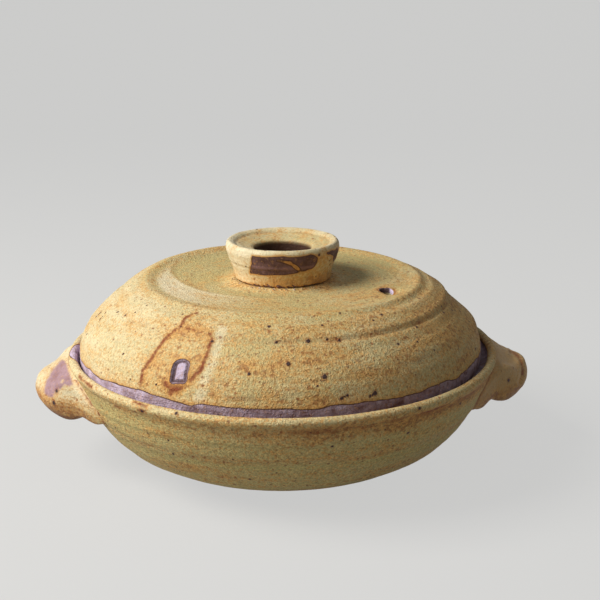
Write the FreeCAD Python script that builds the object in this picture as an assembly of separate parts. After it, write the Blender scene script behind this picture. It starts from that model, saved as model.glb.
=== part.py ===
import FreeCAD, Part
import math
import os

# A lidded stoneware cooking pot. Millimetres, Z up, origin at the centre of the foot.
# The two lug handles lie on the X axis and the front faces -Y.

# Bowl
lipRadius = 133.6        # outside of the rolled lip
lipThickness = 5.6       # lip, from its outside to the gallery wall
lipDepth = 6.6           # height of the rolled lip down to the groove below it
grooveInset = 2.1        # how far the groove lies inside the lip
lipTuck = 0.7            # how far the lip turns under halfway to the groove
bowlHeight = 73.0        # crest of the lip above the table
galleryDepth = 5.0       # crest of the lip down to the seat of the lid
ledgeWidth = 10.5        # flat seat, inwards from the gallery wall
ledgeThickness = 8.0     # clay under the seat before it thins to the wall
ledgeOverhang = 1.5      # nose of the ledge beyond the wall below it
wallThickness = 7.5
hipInset = 27.5          # lip to the hip, where the wall turns under
hipHeight = 22.4
wallFullness = 3.4       # bulge of the wall above the hip
underFullness = 2.6      # bulge of the underside between hip and foot
floorThickness = 8.6
footRadius = 58.0
footHeight = 2.2
footFlare = 2.0          # how much wider the bowl is where it leaves the foot
footRingWidth = 9.0
footRecess = 1.5

# Lid
lidGap = 2.4             # gallery wall to the edge of the lid, all round
lidEdge = 7.0            # width of the flat edge that rests on the seat
edgeRounding = 0.8
bandHeight = 7.0         # upright band at the edge
shoulderInset = 23.0     # edge of the lid to the crease on the shoulder
shoulderRise = 39.0      # seat to the crease
plateauInset = 41.0      # edge of the lid to the ridge round the flat top
plateauRise = 48.2       # seat to the crest of the ridge
sideFullness = 3.8
topFullness = 1.1
ridgeWidth = 3.4
ridgeFall = 0.9          # ridge down to the flat top inside it
discInset = 15.8         # ridge to the sunken disc
discFall = 0.6
lidWall = 6.4
ventDiameter = 7.5
ventInset = 15.6          # ridge to the middle of the steam hole
ventAngle = -31.0        # seen from above, from the right handle

# Knob
knobBaseRadius = 30.0
knobFlare = 5.0          # widest radius beyond the base
knobCrestInset = 1.8     # widest radius to the crest
knobHeight = 23.8
knobCrestDrop = 3.8      # crest down to the widest place
crestFullness = 0.7
knobFoot = 4.0           # upright part above the base
kneeFlare = 2.3          # flare reached at the knee of the side
kneeHeight = 10.7
mouthRadius = 17.8
mouthDepth = 6.2         # crest down to the mouth of the hollow
mouthRounding = 1.6
hollowFlare = 1.6        # how much wider the hollow is at its foot
knobPadMargin = 1.6      # flat pad on the lid beyond the base of the knob

# Handles
handleReach = 22.4       # tip of the handle beyond the lip
handleSpread = 24.0      # half the angle that the handle covers round the bowl
handleTop = 6.8          # crest of the lip down to the top of the handle at its root
saddleFall = 6.4         # root down to the thumb saddle
saddleDip = 0.7          # saddle below the bead along the edge
beadInset = 5.2          # tip back to the crest of the bead
tipDrop = 6.9            # bead down to the tip
handleThickness = 16.5   # bead down to the lower lip
lowerInset = 3.4         # tip back to the lower lip
fingerHollow = 5.0       # hollow in the underside
rootHeight = 26.0        # height of the root on the wall
rootHold = 0.80          # share of its height that the root keeps at the ends
saddleHold = 0.40        # the same for the thumb saddle
handleSink = 7.0         # how far the sections start inside the wall
endSink = 3.5            # how far the ends run into the wall
sectionCount = 9
sectionShare = 0.97      # the outermost sections stand this far along the spread

# Places that follow from the sizes above
diagonal = math.sqrt(0.5)
galleryRadius = lipRadius - lipThickness
grooveRadius = lipRadius - grooveInset
ledgeRadius = galleryRadius - ledgeWidth
seatHeight = bowlHeight - galleryDepth
hipRadius = lipRadius - hipInset
lidRadius = galleryRadius - lidGap
lidInnerRadius = lidRadius - lidEdge
shoulderRadius = lidRadius - shoulderInset
plateauRadius = lidRadius - plateauInset
discRadius = plateauRadius - discInset
plateauHeight = seatHeight + plateauRise
discHeight = plateauHeight - ridgeFall - discFall
padHeight = plateauHeight
padRadius = knobBaseRadius + knobPadMargin
ventRadius = plateauRadius - ventInset


def point(radius, height):
    return FreeCAD.Vector(radius, 0, height)


def line(start, end):
    return Part.makeLine(start, end)


def arc(start, middle, end):
    return Part.Arc(start, middle, end).toShape()


def curve(points):
    spline = Part.BSplineCurve()
    spline.interpolate(points)
    return spline.toShape()


def bulged(start, end, fullness):
    # The middle of a chord, moved to the right of its direction.
    chord = end - start
    normal = FreeCAD.Vector(chord.z, 0, -chord.x).normalize()
    return (start + end) * 0.5 + normal * fullness


def inside(place, start, end, distance):
    # A place moved to the left of the direction from start to end.
    chord = end - start
    normal = FreeCAD.Vector(-chord.z, 0, chord.x).normalize()
    return place + normal * distance


def turned(edges):
    # A closed outline in the XZ plane, turned once round the axis.
    face = Part.Face(Part.Wire(edges))
    return face.revolve(FreeCAD.Vector(0, 0, 0), FreeCAD.Vector(0, 0, 1), 360)


def save(shape, name):
    solid = shape.Solids[0] if len(shape.Solids) == 1 else shape
    if not solid.isValid():
        raise ValueError(name + " is not a valid solid")
    solid.exportStep("parts/" + name + ".step")
    print(name, len(shape.Solids), round(shape.Volume / 1000, 1), "cm3")


# Outline of the bowl
footEdge = point(footRadius, 0)
bellyStart = point(footRadius + footFlare, footHeight)
hip = point(hipRadius, hipHeight)
groove = point(grooveRadius, bowlHeight - lipDepth)
underMiddle = bulged(bellyStart, hip, underFullness)
wallMiddle = bulged(hip, groove, wallFullness)
lipOuter = point(lipRadius, bowlHeight - lipThickness / 2)
lipCrest = point(lipRadius - lipThickness / 2, bowlHeight)
lipInner = point(galleryRadius, bowlHeight - lipThickness / 2)


def bowlBelly():
    return curve([bellyStart, underMiddle, hip, wallMiddle, groove])


def makeBowl():
    ringInner = footRadius - footRingWidth
    recessEdge = point(ringInner - footRecess, footRecess)
    lipUnder = point(lipRadius - lipTuck, (groove.z + lipOuter.z) / 2)
    seatOuter = point(galleryRadius, seatHeight)
    seatInner = point(ledgeRadius, seatHeight)
    ledgeNose = point(ledgeRadius, seatHeight - ledgeThickness / 2)
    underLedge = point(ledgeRadius + ledgeOverhang, seatHeight - ledgeThickness)
    wallInner = inside(wallMiddle, hip, groove, wallThickness)
    hipInner = inside(hip, underMiddle, wallMiddle, wallThickness)
    underInner = inside(underMiddle, bellyStart, hip, wallThickness)
    floorEdge = point(footRadius, footRecess + floorThickness)
    floorMiddle = point(0, footRecess + floorThickness)
    outline = [
        line(point(0, footRecess), recessEdge),
        line(recessEdge, point(ringInner, 0)),
        line(point(ringInner, 0), footEdge),
        line(footEdge, bellyStart),
        bowlBelly(),
        arc(groove, lipUnder, lipOuter),
        arc(lipOuter, lipCrest, lipInner),
        line(lipInner, seatOuter),
        line(seatOuter, seatInner),
        line(seatInner, ledgeNose),
        curve([ledgeNose, underLedge, wallInner, hipInner, underInner, floorEdge]),
        line(floorEdge, floorMiddle),
        line(floorMiddle, point(0, footRecess)),
    ]
    return turned(outline)


def makeBowlOutside():
    # Everything inside the bowl's outer surface, which the handles are shaped against.
    top = point(0, bowlHeight)
    outline = [
        line(point(0, 0), footEdge),
        line(footEdge, bellyStart),
        bowlBelly(),
        line(groove, point(grooveRadius, bowlHeight)),
        line(point(grooveRadius, bowlHeight), top),
        line(top, point(0, 0)),
    ]
    return turned(outline)


def makeLid():
    edgeOuter = point(lidRadius - edgeRounding, seatHeight)
    edgeInner = point(lidInnerRadius, seatHeight)
    bandFoot = point(lidRadius, seatHeight + edgeRounding)
    bandTop = point(lidRadius, seatHeight + bandHeight)
    shoulder = point(shoulderRadius, seatHeight + shoulderRise)
    ridgeOuter = point(plateauRadius + ridgeWidth / 2, plateauHeight - ridgeFall / 2)
    ridgeCrest = point(plateauRadius, plateauHeight)
    ridgeInner = point(plateauRadius - ridgeWidth, plateauHeight - ridgeFall)
    discOuter = point(discRadius, plateauHeight - ridgeFall)
    discEdge = point(discRadius - discFall, discHeight)
    padEdge = point(padRadius, padHeight)
    innerTop = plateauHeight - ridgeFall - lidWall
    shoulderInner = inside(shoulder, bandTop, ridgeCrest, lidWall)
    sideInner = inside(bulged(bandTop, shoulder, sideFullness), bandTop, shoulder, lidWall)
    innerEdge = point(plateauRadius - ridgeWidth, innerTop)
    turn = diagonal * edgeRounding
    roundMiddle = point(lidRadius - edgeRounding + turn, seatHeight + edgeRounding - turn)
    outline = [
        line(edgeInner, edgeOuter),
        arc(edgeOuter, roundMiddle, bandFoot),
        line(bandFoot, bandTop),
        arc(bandTop, bulged(bandTop, shoulder, sideFullness), shoulder),
        arc(shoulder, bulged(shoulder, ridgeOuter, topFullness), ridgeOuter),
        arc(ridgeOuter, ridgeCrest, ridgeInner),
        line(ridgeInner, discOuter),
        line(discOuter, discEdge),
        line(discEdge, padEdge),
        line(padEdge, point(0, padHeight)),
        line(point(0, padHeight), point(0, innerTop)),
        line(point(0, innerTop), innerEdge),
        curve([innerEdge, shoulderInner, sideInner, point(lidInnerRadius, seatHeight + bandHeight)]),
        line(point(lidInnerRadius, seatHeight + bandHeight), edgeInner),
    ]
    lid = turned(outline)
    angle = math.radians(ventAngle)
    ventPlace = FreeCAD.Vector(ventRadius * math.cos(angle), ventRadius * math.sin(angle), seatHeight)
    vent = Part.makeCylinder(ventDiameter / 2, 2 * plateauRise, ventPlace)
    return lid.cut(vent)


def makeKnob():
    widestRadius = knobBaseRadius + knobFlare
    crestHeight = padHeight + knobHeight
    widest = point(widestRadius, crestHeight - knobCrestDrop)
    crest = point(widestRadius - knobCrestInset, crestHeight)
    baseOuter = point(knobBaseRadius, padHeight)
    waist = point(knobBaseRadius, padHeight + knobFoot)
    mouth = point(mouthRadius + mouthRounding, crestHeight - mouthDepth)
    throat = point(mouthRadius, crestHeight - mouthDepth - mouthRounding)
    baseInner = point(mouthRadius + hollowFlare, padHeight)
    turn = diagonal * mouthRounding
    mouthMiddle = point(mouthRadius + mouthRounding - turn, crestHeight - mouthDepth - mouthRounding + turn)
    knee = point(knobBaseRadius + kneeFlare, padHeight + kneeHeight)
    outline = [
        line(baseInner, baseOuter),
        line(baseOuter, waist),
        curve([waist, knee, widest]),
        arc(widest, bulged(widest, crest, crestFullness), crest),
        line(crest, mouth),
        arc(mouth, mouthMiddle, throat),
        line(throat, baseInner),
    ]
    return turned(outline)


def wallRadius(height):
    # The straight middle stretch of the wall, where the handles sit.
    share = (height - wallMiddle.z) / (groove.z - wallMiddle.z)
    return wallMiddle.x + (groove.x - wallMiddle.x) * share


def handleSection(angle):
    # One radial section. Its swell goes from one at the middle to nothing at the ends,
    # where the section has shrunk towards its lower lip and sunk into the wall.
    swell = math.cos(math.radians(90 * angle / handleSpread))
    rootTop = bowlHeight - handleTop
    beadHeight = rootTop - saddleFall + saddleDip
    lipHeight = beadHeight - handleThickness
    tipRadius = lipRadius + handleReach

    def place(radius, height, hold):
        settled = lipHeight + (height - lipHeight) * (hold + (1 - hold) * swell)
        reach = radius - wallRadius(height)
        return point(wallRadius(settled) + reach * swell - endSink * (1 - swell), settled)

    def root(height):
        settled = lipHeight + (height - lipHeight) * (rootHold + (1 - rootHold) * swell)
        return point(wallRadius(settled) - handleSink, settled)

    saddleRadius = (wallRadius(rootTop) + tipRadius - beadInset) / 2
    saddleHeight = rootTop - saddleFall
    tip = place(tipRadius, beadHeight - tipDrop, 0)
    top = [
        root(rootTop),
        place(wallRadius(rootTop), rootTop - saddleDip, rootHold),
        place(saddleRadius, saddleHeight, saddleHold),
        place(tipRadius - beadInset, beadHeight, 0),
        tip,
    ]
    under = [
        tip,
        place(tipRadius - lowerInset, lipHeight, 0),
        place(saddleRadius, lipHeight + fingerHollow, 0),
        root(rootTop - rootHeight),
    ]
    section = Part.Wire([curve(top), curve(under), line(under[-1], top[0])])
    section.rotate(FreeCAD.Vector(0, 0, 0), FreeCAD.Vector(0, 0, 1), angle)
    return section


def makeHandle(outside):
    last = handleSpread * sectionShare
    step = 2 * last / (sectionCount - 1)
    sections = [handleSection(-last + step * index) for index in range(sectionCount)]
    lug = Part.makeLoft(sections, True, False)
    return lug.cut(outside)


os.makedirs("parts", exist_ok=True)

outside = makeBowlOutside()
rightHandle = makeHandle(outside)
leftHandle = rightHandle.copy()
leftHandle.rotate(FreeCAD.Vector(0, 0, 0), FreeCAD.Vector(0, 0, 1), 180)

save(makeBowl(), "pot_bowl")
save(leftHandle, "left_handle")
save(rightHandle, "right_handle")
save(makeLid(), "lid_dome")
save(makeKnob(), "lid_knob")
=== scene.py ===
import math
import random

import bpy
import numpy as np
from mathutils import Euler, Matrix, Vector, kdtree


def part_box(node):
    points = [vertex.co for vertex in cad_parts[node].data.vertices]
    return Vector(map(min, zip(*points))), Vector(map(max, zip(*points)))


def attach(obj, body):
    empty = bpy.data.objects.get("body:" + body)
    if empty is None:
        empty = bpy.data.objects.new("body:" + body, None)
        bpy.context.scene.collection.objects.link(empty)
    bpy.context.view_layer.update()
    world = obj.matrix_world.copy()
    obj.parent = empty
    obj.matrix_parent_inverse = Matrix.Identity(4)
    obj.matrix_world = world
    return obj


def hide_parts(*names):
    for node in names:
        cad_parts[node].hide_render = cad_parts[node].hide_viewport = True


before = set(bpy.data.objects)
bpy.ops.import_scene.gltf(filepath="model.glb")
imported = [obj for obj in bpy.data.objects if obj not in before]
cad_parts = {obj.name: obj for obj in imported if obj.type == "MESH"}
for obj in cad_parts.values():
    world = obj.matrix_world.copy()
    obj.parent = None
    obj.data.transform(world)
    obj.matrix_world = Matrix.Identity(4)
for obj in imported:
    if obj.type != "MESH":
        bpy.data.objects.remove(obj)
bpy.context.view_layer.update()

mm = 0.001
fullTurn = 2 * math.pi

# A thrown stoneware pot with a domed lid, a ring knob and two lugs, under a sandy straw
# coloured ash glaze. Z is up, the lugs lie along X and the front is towards -Y. Angles are
# in degrees, seen from above and counted from the right lug. The meshes are in metres; the
# clay is worked in millimetres, which places and settle turn into metres and back.


# Camera, floor and light, in metres

camera = {
    "place": (-0.0625, -0.6981, 0.2997),
    "tilt": 74.14,          # degrees from looking straight down
    "turn": -6.0,
    "lens": 69.7,
    "film": 36,             # width of the film that the lens is given for
    "picture": 600,         # pixels across the picture
}
studio = {
    "middle": (0, 0, 0.07),                 # what the window light looks at
    "paperColour": (0.34, 0.33, 0.31, 1),   # what lights the pot from below
    "paperShown": (0.92, 0.92, 0.91, 1),    # what the camera sees besides
    "paperShare": 0.62,
    "paperRoughness": 0.85,
    "paperGloss": 0.1,
    "wallShown": (0.60, 0.60, 0.59, 1),
    "floorSize": 6.0,
    "coveRadius": 0.9,
    "coveSteps": 24,
    "coveDistance": 1.5,
    "keyAngle": 194,        # where the window light comes from
    "keyRise": 41,
    "keyDistance": 1.1,
    "keySize": 0.62,
    "keyPower": 15.2,
    "keyColour": (1.0, 0.99, 0.97),
    "skyStrength": 0.17,
    "skyColour": (0.92, 0.96, 1.0, 1),
}


def deselect():
    bpy.ops.object.select_all(action="DESELECT")


def pick(piece):
    deselect()
    piece.select_set(True)
    bpy.context.view_layer.objects.active = piece


def newest(name):
    # the object that was just added, under its name
    bpy.context.object.name = name
    return bpy.context.object


def edit(kind=None, action=None):
    # into edit mode, to pick points, edges or faces
    bpy.ops.object.mode_set(mode="EDIT")
    if kind:
        bpy.ops.mesh.select_mode(type=kind)
    if action:
        bpy.ops.mesh.select_all(action=action)


def leave():
    bpy.ops.object.mode_set(mode="OBJECT")


def pickNone(kind):
    edit(kind, "DESELECT")
    leave()


def extrude(x, y, z):
    bpy.ops.mesh.extrude_region_move(TRANSFORM_OT_translate={"value": (x, y, z)})


def onTurn(angle, radius, height=0.0):
    # a place from its angle, its distance from the axis and its height
    a = math.radians(angle)
    return Vector((radius * math.cos(a), radius * math.sin(a), height))


def feed(source, socket):
    # a value set on a socket, or another node's socket joined to it
    if isinstance(source, (int, float, tuple)):
        socket.default_value = source
    else:
        socket.id_data.links.new(source, socket)


def node(tree, kind, inputs, **settings):
    # a shader node with its settings, and what goes into its sockets, by name or number
    made = tree.nodes.new("ShaderNode" + kind)
    for name, value in settings.items():
        setattr(made, name, value)
    for socket, source in inputs.items():
        feed(source, made.inputs[socket])
    return made


def makeCamera():
    deselect()
    bpy.ops.object.camera_add(location=camera["place"])
    eye = newest("eye")
    eye.rotation_euler = (math.radians(camera["tilt"]), 0, math.radians(camera["turn"]))
    eye.data.lens = camera["lens"]
    eye.data.sensor_width = camera["film"]
    eye.data.clip_start = 0.01
    eye.data.clip_end = 50
    bpy.context.scene.camera = eye


def makeFloor():
    # one sheet that runs back and curves up into a backdrop
    deselect()
    size, radius, steps = studio["floorSize"], studio["coveRadius"], studio["coveSteps"]
    bpy.ops.mesh.primitive_plane_add(size=size, location=(0, studio["coveDistance"] - size / 2, 0))
    floor = newest("floor")
    pickNone("EDGE")
    for edge in floor.data.edges:
        edge.select = all(floor.data.vertices[v].co.y > 0 for v in edge.vertices)
    edit()
    for step in range(steps):
        a, b = (math.pi / 2 * share / steps for share in (step, step + 1))
        extrude(0, radius * (math.sin(b) - math.sin(a)), radius * (math.cos(a) - math.cos(b)))
    extrude(0, 0, size)
    leave()
    bpy.ops.object.transform_apply(location=True)
    bpy.ops.object.shade_smooth()
    floor.data.materials.append(paperMaterial())


def newMaterial(name):
    material = bpy.data.materials.new(name)
    material.use_nodes = True
    return material, material.node_tree, material.node_tree.nodes["Principled BSDF"]


def paperMaterial():
    # a mid grey paper that the camera sees as a pale one, with the pot's shadow kept
    paper, tree, shader = newMaterial("palePaper")
    feed(studio["paperColour"], shader.inputs["Base Color"])
    feed(studio["paperRoughness"], shader.inputs["Roughness"])
    feed(studio["paperGloss"], shader.inputs["Specular IOR Level"])
    glow = node(tree, "Emission", {"Color": studio["paperShown"]})
    share = node(tree, "Math", {0: seenDirectly(tree), 1: studio["paperShare"]}, operation="MULTIPLY")
    mix = node(tree, "MixShader", {0: share.outputs[0], 1: shader.outputs[0], 2: glow.outputs[0]})
    feed(mix.outputs[0], tree.nodes["Material Output"].inputs["Surface"])
    return paper


def seenDirectly(tree):
    # 1 for what the camera sees, straight or in a shine, and 0 for what only lights
    path = node(tree, "LightPath", {}).outputs
    seen = path["Is Camera Ray"]
    for other in ("Is Glossy Ray", "Is Transmission Ray"):
        seen = node(tree, "Math", {0: seen, 1: path[other]}, operation="MAXIMUM").outputs[0]
    return seen


def makeLight():
    deselect()
    rise, middle = math.radians(studio["keyRise"]), Vector(studio["middle"])
    place = middle + onTurn(studio["keyAngle"], math.cos(rise), math.sin(rise)) * studio["keyDistance"]
    bpy.ops.object.light_add(type="AREA", location=place)
    key = newest("window")
    key.data.shape = "SQUARE"
    key.data.size = studio["keySize"]
    key.data.energy = studio["keyPower"]
    key.data.color = studio["keyColour"]
    key.rotation_euler = (middle - place).to_track_quat("-Z", "Y").to_euler()
    world = bpy.data.worlds.new("softRoom")
    bpy.context.scene.world = world
    world.use_nodes = True
    tree = world.node_tree
    sky = tree.nodes["Background"]
    feed(studio["skyColour"], sky.inputs["Color"])
    feed(studio["skyStrength"], sky.inputs["Strength"])
    wall = node(tree, "Background", {"Color": studio["wallShown"]})
    both = node(tree, "MixShader", {0: seenDirectly(tree), 1: sky.outputs[0], 2: wall.outputs[0]})
    feed(both.outputs[0], tree.nodes["World Output"].inputs["Surface"])
    bpy.context.scene.view_settings.view_transform = "Standard"


makeCamera()
makeFloor()
makeLight()
print("camera, floor and light placed")


# Ways of working the clay, in millimetres

lineSteps = 24            # pieces of a smooth line between two of its points
outlineSteps = 4000       # places on an outline that a point of the mesh is matched to
mergeGap = 0.00001        # metres within which points become one


def lengths(line):
    # how far along a line each of its points lies
    return np.concatenate([[0], np.cumsum(np.linalg.norm(np.diff(line, axis=0), axis=1))])


def evenly(line, along, even):
    return np.column_stack([np.interp(even, along, line[:, 0]), np.interp(even, along, line[:, 1])])


def smoothRun(points, spacing):
    # a smooth line through the points, cut into even steps
    p = np.array(points, float)
    if len(p) > 2:
        gaps = np.linalg.norm(np.diff(p, axis=0), axis=1)
        slopes = np.diff(p, axis=0) / gaps[:, None]
        inner = (slopes[:-1] * gaps[1:, None] + slopes[1:] * gaps[:-1, None]) / (gaps[:-1] + gaps[1:])[:, None]
        tangents = np.vstack([1.5 * slopes[0] - inner[0] / 2, inner, 1.5 * slopes[-1] - inner[-1] / 2])
        fine = [p[0]]
        for i, gap in enumerate(gaps):
            for t in np.linspace(0, 1, lineSteps + 1)[1:]:
                fine.append((2 * t**3 - 3 * t**2 + 1) * p[i] + (t**3 - 2 * t**2 + t) * gap * tangents[i]
                            + (3 * t**2 - 2 * t**3) * p[i + 1] + (t**3 - t**2) * gap * tangents[i + 1])
        p = np.array(fine)
    along = lengths(p)
    return evenly(p, along, np.linspace(0, along[-1], max(2, math.ceil(along[-1] / spacing) + 1)))


def roundRun(centre, radius, start, end, spacing):
    # a stretch of a circle in the outline, from one angle to another
    count = max(3, math.ceil(abs(math.radians(end - start)) * radius / spacing) + 1)
    turns = np.radians(np.linspace(start, end, count))
    return np.column_stack([centre[0] + radius * np.cos(turns), centre[1] + radius * np.sin(turns)])


def joinRuns(runs):
    # stretches of outline made into one, each point once
    line = [runs[0][0]]
    for run in runs:
        line += [p for p in run if np.linalg.norm(p - line[-1]) > 0.0001]
    line = np.array(line)
    return {"line": line, "along": lengths(line)}


def shapeWith(piece, name, kind, **settings):
    # a modifier, set and then applied
    pick(piece)
    tool = piece.modifiers.new(name, kind)
    for setting, value in settings.items():
        setattr(tool, setting, value)
    bpy.ops.object.modifier_apply(modifier=tool.name)


def turnOutwards():
    bpy.ops.mesh.normals_make_consistent(inside=False)
    leave()


def throwPiece(name, outline, steps):
    # a plane drawn together to one point, drawn out along the outline and turned like clay on a wheel
    deselect()
    line = outline["line"] * mm
    bpy.ops.mesh.primitive_plane_add(size=0.001, location=(line[0][0], 0, line[0][1]))
    piece = newest(name)
    edit("VERT", "SELECT")
    bpy.ops.mesh.merge(type="CENTER")
    for a, b in zip(line, line[1:]):
        extrude(b[0] - a[0], 0, b[1] - a[1])
    leave()
    piece.data.transform(Matrix.Translation(piece.location))
    piece.location = (0, 0, 0)
    shapeWith(piece, "wheel", "SCREW", axis="Z", angle=fullTurn, steps=steps, render_steps=steps,
              use_merge_vertices=True, merge_threshold=mergeGap)
    edit(action="SELECT")
    bpy.ops.mesh.remove_doubles(threshold=mergeGap)
    turnOutwards()
    return piece


def read(piece, what):
    values = np.empty(len(piece.data.vertices) * 3)
    piece.data.vertices.foreach_get(what, values)
    return values.reshape(-1, 3)


def places(piece):
    return read(piece, "co") / mm


def settle(piece, co):
    piece.data.vertices.foreach_set("co", (co * mm).ravel())
    piece.data.update()


def press(piece, depth):
    # moves the surface in by a depth at each place
    settle(piece, places(piece) - read(piece, "normal") * np.asarray(depth)[:, None])


def softStep(value, low, high):
    # 0 at low, 1 at high, smooth between, whichever is greater
    share = np.clip((np.asarray(value, float) - low) / (high - low), 0, 1)
    return share * share * (3 - 2 * share)


def angles(co):
    return np.degrees(np.arctan2(co[:, 1], co[:, 0]))


def radii(co):
    return np.hypot(co[:, 0], co[:, 1])


def waver(angle, seed, counts, size):
    # an uneven line round the pot that meets itself
    draw = random.Random(seed)
    total = np.zeros_like(np.asarray(angle, float))
    for count in counts:
        phase = draw.uniform(0, fullTurn)
        total += np.cos(np.radians(angle) * count + phase) * draw.uniform(0.5, 1.0)
    return total * size / math.sqrt(len(counts))


def cloudy(piece, *touches):
    # unevenness of a hand's touch, each with the size of its clouds and its height
    for size, strength in touches:
        cloud = bpy.data.textures.new("cloud", "CLOUDS")
        cloud.noise_scale = size * mm
        shapeWith(piece, "uneven", "DISPLACE", texture=cloud, strength=strength * mm)
        bpy.data.textures.remove(cloud)


def alongOutline(piece, outline):
    # how far each place lies along the outline
    fine = np.linspace(0, outline["along"][-1], outlineSteps)
    line = evenly(outline["line"], outline["along"], fine) * mm
    tree = kdtree.KDTree(len(line))
    for i, (radius, height) in enumerate(line):
        tree.insert((radius, height, 0), i)
    tree.balance()
    co = read(piece, "co")
    return np.array([fine[tree.find((a, b, 0))[1]] for a, b in zip(radii(co), co[:, 2])])


def pointOn(outline, angle, along):
    # a place on the piece, from its angle and its distance along the outline
    radius, height = evenly(outline["line"], outline["along"], [along])[0]
    return onTurn(angle, float(radius), float(height))


def alongAt(outline, radius, height):
    return float(outline["along"][np.linalg.norm(outline["line"] - (radius, height), axis=1).argmin()])


def lineDistance(co, line):
    # distance of each place from a line of points
    best = np.full(len(co), 1000.0)
    for a, b in zip(line, line[1:]):
        a, b = np.array(a), np.array(b)
        share = np.clip(((co - a) @ (b - a)) / max(1e-6, (b - a) @ (b - a)), 0, 1)
        best = np.minimum(best, np.linalg.norm(co - a - share[:, None] * (b - a), axis=1))
    return best


def inShape(x, y, ring):
    # how far inside a closed line of points each place lies, negative outside it
    ring = ring + ring[:1]
    inside = np.zeros(len(x), bool)
    for (x0, y0), (x1, y1) in zip(ring, ring[1:]):
        if y0 != y1:
            inside ^= ((y0 > y) != (y1 > y)) & (x < x0 + (y - y0) / (y1 - y0) * (x1 - x0))
    edge = lineDistance(np.column_stack([x, y]), ring)
    return np.where(inside, edge, -edge)


def near(value, middle, reach):
    # 1 at a value, falling softly to 0 at a reach from it
    return softStep(np.abs(value - middle), reach, 0)


def nearTurn(angle, middle, reach):
    return near((angle - middle + 180) % 360, 180, reach)


def grooves(value, rows):
    # grooves, and ridges with a depth below 0: where each lies, how far it reaches and how deep it is
    return sum(near(value, middle, reach) * depth for middle, reach, depth in rows)


def lay(piece, **layers):
    # what the glaze is to know of each place: a number, or a way from somewhere
    for name, values in layers.items():
        values = np.asarray(values, np.float32)
        kind, label = ("FLOAT", "value") if values.ndim == 1 else ("FLOAT_VECTOR", "vector")
        piece.data.attributes.new(name, kind, "POINT").data.foreach_set(label, values.ravel())


def laySpots(piece, spots, reach=3.2):
    # for each place, the way from the nearest spot's middle, and that spot's size, in metres
    co = places(piece)
    offset = np.full((len(co), 3), reach)
    size = np.zeros(len(co))
    nearest = np.full(len(co), reach)
    for middle, radius in spots:
        away = co - np.array(middle)
        gap = np.linalg.norm(away, axis=1)
        close = gap < nearest
        offset[close], size[close], nearest[close] = away[close], radius, gap[close]
    # past its edge a spot fades, before the next one's way sets in
    edge = np.maximum(size * 2.2, 1.2)
    lay(piece, spotWay=offset * mm, spotSize=size * softStep(nearest, edge + 0.8, edge) * mm)


def finishPiece(piece, glaze, look, body, node):
    piece.data.materials.append(glazeMaterial(glaze, {**baseLook, **look}))
    pick(piece)
    bpy.ops.object.shade_smooth_by_angle(angle=math.radians(50))
    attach(piece, body)
    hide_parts(node)
    print(piece.name, "finished,", len(piece.data.polygons), "faces")


# Glaze and clay, as node groups that every piece's material uses

def paint(red, green, blue):
    # a colour as it looks on a screen, 0 to 255, turned to the light that it sends back
    shares = (value / 255 for value in (red, green, blue))
    return tuple(v / 12.92 if v <= 0.04045 else ((v + 0.055) / 1.055) ** 2.4 for v in shares) + (1,)


colours = {
    "straw": paint(204, 182, 124),
    "cream": paint(234, 220, 186),
    "amber": paint(216, 174, 106),
    "peach": paint(200, 144, 74),
    "moss": paint(184, 170, 114),
    # rust, burnt and iron also serve as painted shade, in shaded creases and grooves, in deep holes and under the lugs
    "rustAndShade": paint(130, 64, 26),
    "burntAndShade": paint(62, 33, 24),
    "ironAndShade": paint(50, 31, 33),
}
groups = {}


def newGroup(name, outputs, **inputs):
    # a group with its sockets; an input has its value, or None for a vector
    groups[name] = group = bpy.data.node_groups.new(name, "ShaderNodeTree")
    for label, value in inputs.items():
        kind = "NodeSocketVector" if value is None else "NodeSocketFloat"
        socket = group.interface.new_socket(name=label, in_out="INPUT", socket_type=kind)
        if value is not None:
            socket.default_value = value
    for label in outputs:
        kind = "NodeSocketVector" if label == "Vector" else "NodeSocketFloat"
        group.interface.new_socket(name=label, in_out="OUTPUT", socket_type=kind)
    return group.nodes.new("NodeGroupInput").outputs, group.nodes.new("NodeGroupOutput").inputs


def add(kind, inputs, **settings):
    # a node in the tree that its first joined input comes from
    tree = next(source.id_data for source in inputs.values() if isinstance(source, bpy.types.NodeSocket))
    return node(tree, kind, inputs, **settings)


def sums(operation, a, b=0.0, clamp=False):
    return add("Math", {0: a, 1: b}, operation=operation, use_clamp=clamp).outputs[0]


def times(a, b):
    return sums("MULTIPLY", a, b)


def plus(a, b):
    return sums("ADD", a, b)


def less(a, b):
    return sums("SUBTRACT", a, b)


def most(a, b):
    return sums("MAXIMUM", a, b)


def fade(value, low, high):
    # 0 at low, 1 at high, smooth between
    inputs = {"Value": value, "From Min": low, "From Max": high}
    return add("MapRange", inputs, interpolation_type="SMOOTHSTEP").outputs["Result"]


def grainOf(vector, scale, detail, roughness):
    inputs = {"Vector": vector, "Scale": scale, "Detail": detail, "Roughness": roughness}
    return add("TexNoise", inputs).outputs["Fac"]


def mixed(share, a, b, kind="MIX"):
    return add("Mix", {0: share, 6: a, 7: b}, data_type="RGBA", blend_type=kind).outputs[2]


def makeWheelGroup(radius=0.11):
    # stretches a pattern along the turning of the wheel
    into, out = newGroup("wheelWise", ["Vector"], Vector=None, Along=0.0, Stretch=4.0)
    split = add("SeparateXYZ", {0: into["Vector"]}).outputs
    turn = sums("ARCTAN2", split["Y"], split["X"])
    around = add("CombineXYZ", {0: times(sums("COSINE", turn), radius), 1: times(sums("SINE", turn), radius),
                                2: times(into["Along"], into["Stretch"])})
    feed(around.outputs[0], out["Vector"])


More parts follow.
